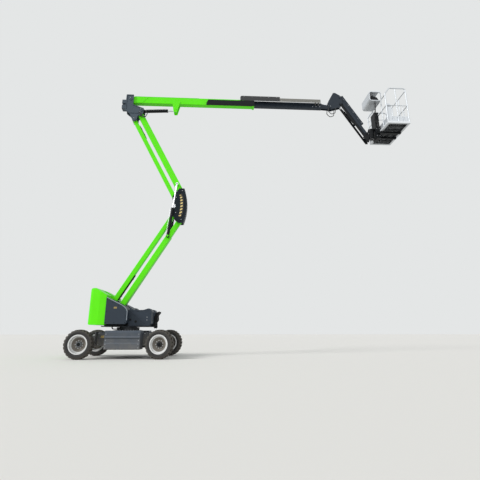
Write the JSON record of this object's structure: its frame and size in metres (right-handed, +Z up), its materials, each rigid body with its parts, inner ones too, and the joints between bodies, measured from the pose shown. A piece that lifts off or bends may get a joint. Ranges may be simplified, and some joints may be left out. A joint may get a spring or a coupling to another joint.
{
  "type": "self-propelled articulated boom lift",
  "caption": "Four-wheeled boom lift with parallel-linkage risers, luffing telescopic boom, jib and turning work platform, all jointed.",
  "frame": {"origin": "on the ground under the slewing axis, midway between the axles", "axes": "+X forward to the platform, +Y to the machine's left, +Z up"},
  "size_m": [9.7145, 1.8552, 8.3495],
  "materials": {
    "bare_steel": "satin",
    "cast_green": "gloss",
    "chain_plastic": "matte",
    "console_plastic": "matte",
    "cover_plastic": "matte",
    "dark_paint": "satin",
    "green_paint": "gloss",
    "grey_paint": "satin",
    "hose_rubber": "matte",
    "platform_alloy": "satin",
    "rim_paint": "satin",
    "rod_chrome": "polished",
    "slate_paint": "satin",
    "tyre_rubber": "matte"
  },
  "bodies": {
    "chassis": {"chassis_frame": "slate_paint", "side_covers": "cover_plastic", "front_axle": "slate_paint", "rear_axle": "slate_paint", "slew_ring": "bare_steel"},
    "turntable": {"turntable_frame": "slate_paint", "counterweight": "cast_green", "turntable_covers": "cover_plastic", "front_housings": "cover_plastic", "boom_rest": "dark_paint", "slew_hoses": "hose_rubber"},
    "lower_arm": {"lower_arm": "green_paint"},
    "lower_link": {"lower_link": "green_paint"},
    "elbow": {"elbow_plates": "dark_paint", "elbow_cover": "dark_paint", "elbow_hoses": "hose_rubber"},
    "upper_arm": {"upper_arm": "green_paint"},
    "upper_link": {"upper_link": "green_paint"},
    "riser_barrels": {"riser_barrels": "dark_paint"},
    "riser_rods": {"riser_rods": "rod_chrome"},
    "carrier": {"carrier": "grey_paint", "carrier_hoses": "hose_rubber"},
    "main_boom": {"main_boom": "green_paint", "chain_tray": "dark_paint"},
    "luff_barrel": {"luff_barrel": "dark_paint"},
    "luff_rod": {"luff_rod": "rod_chrome"},
    "inner_boom": {"inner_boom": "grey_paint", "hose_guard": "dark_paint"},
    "jib_knuckle": {"jib_knuckle": "grey_paint", "tip_hoses": "hose_rubber"},
    "level_barrel": {"level_barrel": "dark_paint"},
    "level_rod": {"level_rod": "rod_chrome"},
    "jib_arm": {"jib_arm": "grey_paint", "jib_channel": "grey_paint"},
    "jib_link": {"jib_link": "dark_paint"},
    "jib_barrel": {"jib_barrel": "dark_paint"},
    "jib_rod": {"jib_rod": "rod_chrome"},
    "jib_head": {"jib_head": "dark_paint"},
    "platform": {"platform_mount": "grey_paint", "platform_floor": "platform_alloy", "platform_rails": "platform_alloy", "toe_boards": "platform_alloy", "console": "console_plastic", "console_hood": "platform_alloy", "console_cable": "hose_rubber", "platform_hoops": "platform_alloy"},
    "platform_gate": {"platform_gate": "platform_alloy"},
    "knuckle_right": {"knuckle_right": "dark_paint"},
    "knuckle_left": {"knuckle_left": "dark_paint"},
    "tie_rod": {"tie_rod": "bare_steel"},
    "wheel_front_right": {"tyre_front_right": "tyre_rubber", "rim_front_right": "rim_paint"},
    "wheel_front_left": {"tyre_front_left": "tyre_rubber", "rim_front_left": "rim_paint"},
    "wheel_rear_right": {"tyre_rear_right": "tyre_rubber", "rim_rear_right": "rim_paint"},
    "wheel_rear_left": {"tyre_rear_left": "tyre_rubber", "rim_rear_left": "rim_paint"},
    "hose_chain": {"hose_chain": "chain_plastic"}
  },
  "joints": [
    {"name": "slew", "type": "hinge", "parent": "chassis", "child": "turntable", "pos_m": [0, 0, 0.77], "axis": [0, 0, 1], "range_deg": [-177.5, 177.5]},
    {"name": "riser", "type": "hinge", "parent": "turntable", "child": "lower_arm", "pos_m": [-0.325, 0, 1.15], "axis": [0, -1, 0], "range_deg": [-59, 10]},
    {"name": "lower_link_turn", "type": "hinge", "parent": "turntable", "child": "lower_link", "pos_m": [-0.496, 0, 1.361], "axis": [0, -1, 0], "range_deg": [-59.5, 10.5]},
    {"name": "elbow_turn", "type": "hinge", "parent": "lower_arm", "child": "elbow", "pos_m": [1.25465, 0, 3.79989], "axis": [0, -1, 0], "range_deg": [-10.5, 59.5]},
    {"name": "upper_arm_turn", "type": "hinge", "parent": "elbow", "child": "upper_arm", "pos_m": [1.25465, 0, 4.69989], "axis": [0, -1, 0], "range_deg": [-10.5, 59.5]},
    {"name": "upper_link_turn", "type": "hinge", "parent": "elbow", "child": "upper_link", "pos_m": [1.08365, 0, 4.48889], "axis": [0, -1, 0], "range_deg": [-10.5, 59.5]},
    {"name": "carrier_turn", "type": "hinge", "parent": "upper_arm", "child": "carrier", "pos_m": [-0.13937, 0, 7.29974], "axis": [0, -1, 0], "range_deg": [-59.5, 10.5]},
    {"name": "riser_barrel_turn", "type": "hinge", "parent": "lower_arm", "child": "riser_barrels", "pos_m": [0.95255, 0, 3.29311], "axis": [0, -1, 0], "range_deg": [-8.16, 45.68]},
    {"name": "riser_rod_slide", "type": "slide", "parent": "riser_barrels", "child": "riser_rods", "axis": [0.1176, 0, 0.9931], "range_m": [-0.6045, 0.1066]},
    {"name": "luff", "type": "hinge", "parent": "carrier", "child": "main_boom", "pos_m": [-0.48037, 0, 7.81974], "axis": [0, -1, 0], "range_deg": [-4, 72]},
    {"name": "luff_barrel_turn", "type": "hinge", "parent": "carrier", "child": "luff_barrel", "pos_m": [-0.09, 0, 7.46], "axis": [0, -1, 0], "range_deg": [-4.82, 78.24]},
    {"name": "luff_rod_slide", "type": "slide", "parent": "luff_barrel", "child": "luff_rod", "axis": [0.9984, 0, 0.0573], "range_m": [-0.0389, 0.6159]},
    {"name": "telescope", "type": "slide", "parent": "main_boom", "child": "inner_boom", "axis": [1, 0, 0], "range_m": [-1.9, 0.3]},
    {"name": "tip_level", "type": "hinge", "parent": "inner_boom", "child": "jib_knuckle", "pos_m": [6.05, 0, 7.78], "axis": [0, -1, 0], "range_deg": [-72.5, 4.5]},
    {"name": "level_barrel_turn", "type": "hinge", "parent": "inner_boom", "child": "level_barrel", "pos_m": [5.33, 0, 7.835], "axis": [0, -1, 0], "range_deg": [-7.48, 0.89]},
    {"name": "level_rod_slide", "type": "slide", "parent": "level_barrel", "child": "level_rod", "axis": [0.9879, 0, 0.1552], "range_m": [-0.0146, 0.1784]},
    {"name": "jib", "type": "hinge", "parent": "jib_knuckle", "child": "jib_arm", "pos_m": [6.4, 0, 8.17], "axis": [0, -1, 0], "range_deg": [-8, 125]},
    {"name": "jib_link_turn", "type": "hinge", "parent": "jib_knuckle", "child": "jib_link", "pos_m": [6.4, 0, 7.92], "axis": [0, -1, 0], "range_deg": [-8.5, 125.5]},
    {"name": "jib_head_turn", "type": "hinge", "parent": "jib_arm", "child": "jib_head", "pos_m": [7.21, 0, 6.83], "axis": [0, -1, 0], "range_deg": [-125.5, 8.5]},
    {"name": "jib_barrel_turn", "type": "hinge", "parent": "jib_arm", "child": "jib_barrel", "pos_m": [6.86444, 0, 7.22382], "axis": [0, -1, 0], "range_deg": [-3.9, 0.72]},
    {"name": "jib_rod_slide", "type": "slide", "parent": "jib_barrel", "child": "jib_rod", "axis": [-0.6155, 0, 0.7881], "range_m": [-0.0392, 0.5397]},
    {"name": "platform_turn", "type": "hinge", "parent": "jib_head", "child": "platform", "pos_m": [7.375, 0, 6.85], "axis": [0, 0, -1], "range_deg": [-80, 80]},
    {"name": "gate", "type": "hinge", "parent": "platform", "child": "platform_gate", "pos_m": [7.644, 0.731, 7.5], "axis": [0, 0, -1], "range_deg": [0, 70]},
    {"name": "steer", "type": "hinge", "parent": "chassis", "child": "knuckle_right", "pos_m": [1.015, -0.556, 0.3545], "axis": [0, 0, 1], "range_deg": [-25, 45]},
    {"name": "steer_left", "type": "hinge", "parent": "chassis", "child": "knuckle_left", "pos_m": [1.015, 0.556, 0.3545], "axis": [0, 0, 1], "range_deg": [-25.5, 45.5]},
    {"name": "tie_rod_turn", "type": "hinge", "parent": "knuckle_right", "child": "tie_rod", "pos_m": [0.85251, -0.52735, 0.27], "axis": [0, 0, 1], "range_deg": [-45.5, 25.5]},
    {"name": "wheel_front_right_spin", "type": "hinge", "parent": "knuckle_right", "child": "wheel_front_right", "pos_m": [0.97923, -0.75887, 0.3545], "axis": [0.1736, 0.9848, 0], "continuous": true},
    {"name": "wheel_front_left_spin", "type": "hinge", "parent": "knuckle_left", "child": "wheel_front_left", "pos_m": [1.05077, 0.75887, 0.3545], "axis": [0.1736, 0.9848, 0], "continuous": true},
    {"name": "wheel_rear_right_spin", "type": "hinge", "parent": "chassis", "child": "wheel_rear_right", "pos_m": [-1.015, -0.762, 0.3545], "axis": [0, 1, 0], "continuous": true},
    {"name": "wheel_rear_left_spin", "type": "hinge", "parent": "chassis", "child": "wheel_rear_left", "pos_m": [-1.015, 0.762, 0.3545], "axis": [0, 1, 0], "continuous": true},
    {"name": "chain_slide", "type": "slide", "parent": "main_boom", "child": "hose_chain", "axis": [1, 0, 0], "range_m": [-0.955, 0.155]}
  ],
  "couplings": [
    {"joint": "lower_link_turn", "follows": "riser", "ratio": 1},
    {"joint": "elbow_turn", "follows": "riser", "ratio": -1},
    {"joint": "upper_arm_turn", "follows": "riser", "ratio": -1},
    {"joint": "upper_link_turn", "follows": "riser", "ratio": -1},
    {"joint": "carrier_turn", "follows": "riser", "ratio": 1},
    {"joint": "riser_barrel_turn", "follows": "riser", "ratio": -0.7658},
    {"joint": "riser_rod_slide", "follows": "riser", "m_per_rad": 0.5822},
    {"joint": "luff_barrel_turn", "follows": "luff", "ratio": 1.0797},
    {"joint": "luff_rod_slide", "follows": "luff", "m_per_rad": 0.4861},
    {"joint": "tip_level", "follows": "luff", "ratio": -1},
    {"joint": "level_barrel_turn", "follows": "luff", "ratio": -0.097},
    {"joint": "level_rod_slide", "follows": "luff", "m_per_rad": 0.138},
    {"joint": "jib_link_turn", "follows": "jib", "ratio": 1},
    {"joint": "jib_head_turn", "follows": "jib", "ratio": -1},
    {"joint": "jib_barrel_turn", "follows": "jib", "ratio": -0.0272},
    {"joint": "jib_rod_slide", "follows": "jib", "m_per_rad": 0.2451},
    {"joint": "steer_left", "follows": "steer", "ratio": 1},
    {"joint": "tie_rod_turn", "follows": "steer", "ratio": -1},
    {"joint": "chain_slide", "follows": "telescope", "ratio": 0.5}
  ]
}
